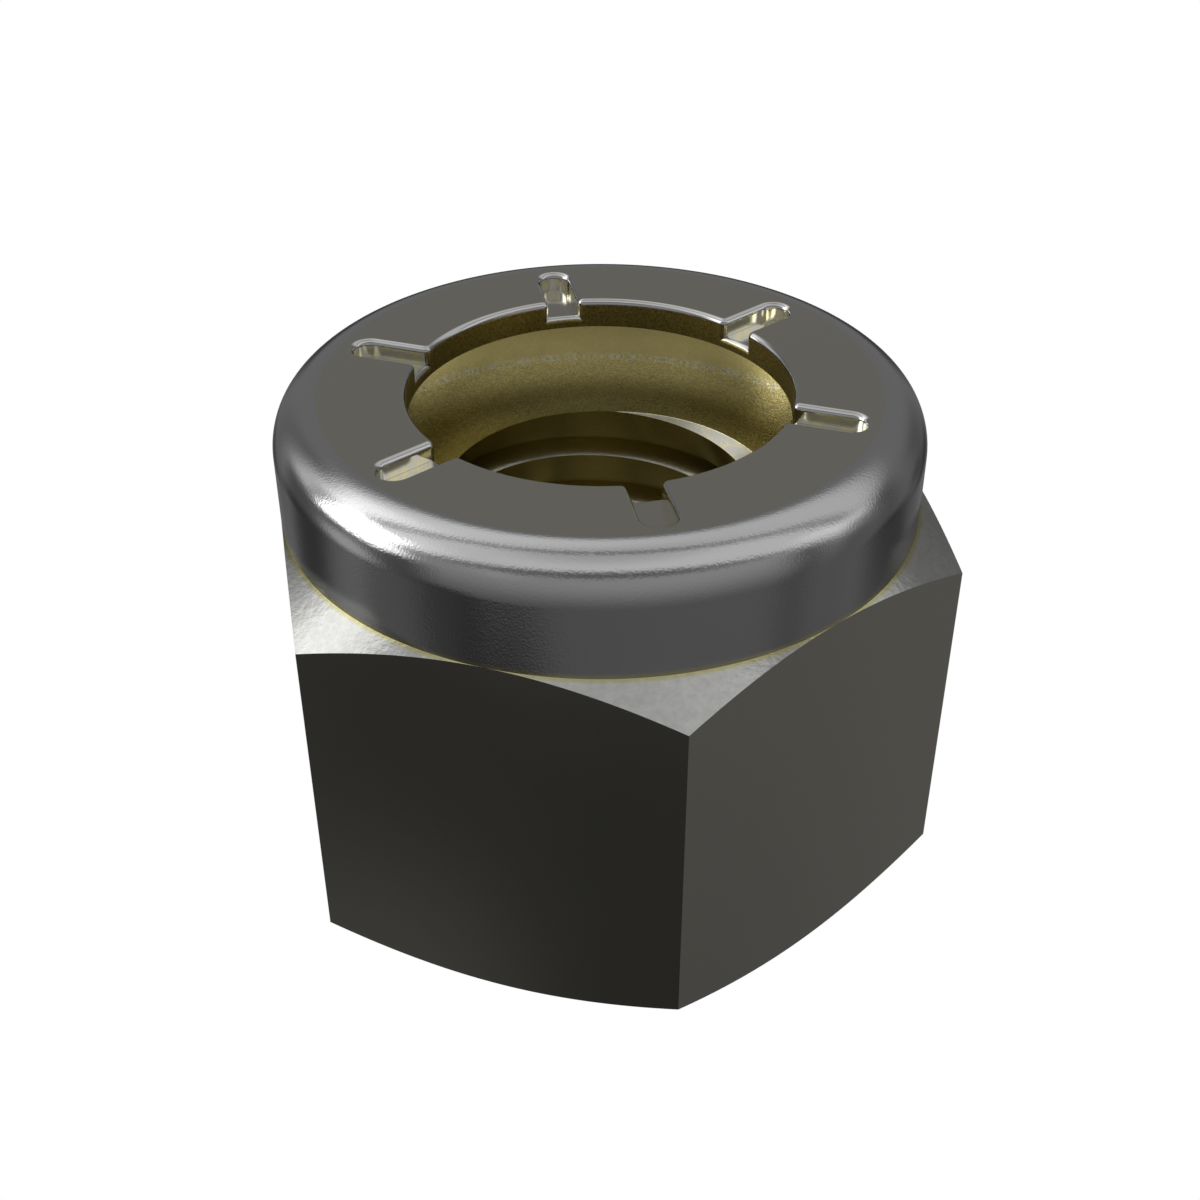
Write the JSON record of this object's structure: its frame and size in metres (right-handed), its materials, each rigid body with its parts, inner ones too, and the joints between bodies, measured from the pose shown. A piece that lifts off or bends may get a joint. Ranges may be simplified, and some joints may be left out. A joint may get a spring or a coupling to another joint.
{
  "type": "hex lock nut",
  "caption": "Hexagonal lock nut with chamfered corners and a round drawn cap whose inturned lip is slotted from its hole.",
  "frame": {"origin": "centre of the flat bearing face, on the thread's axis", "axes": "+Z along the thread's axis from the bearing face towards the cap, +X through a corner of the hexagon and the middle of a slot"},
  "size_m": [0.0196, 0.017, 0.0137],
  "materials": {
    "nut_steel": "satin",
    "cap_steel": "polished"
  },
  "bodies": {
    "root": {"nut_body": "nut_steel", "locking_cap": "cap_steel"}
  },
  "joints": []
}
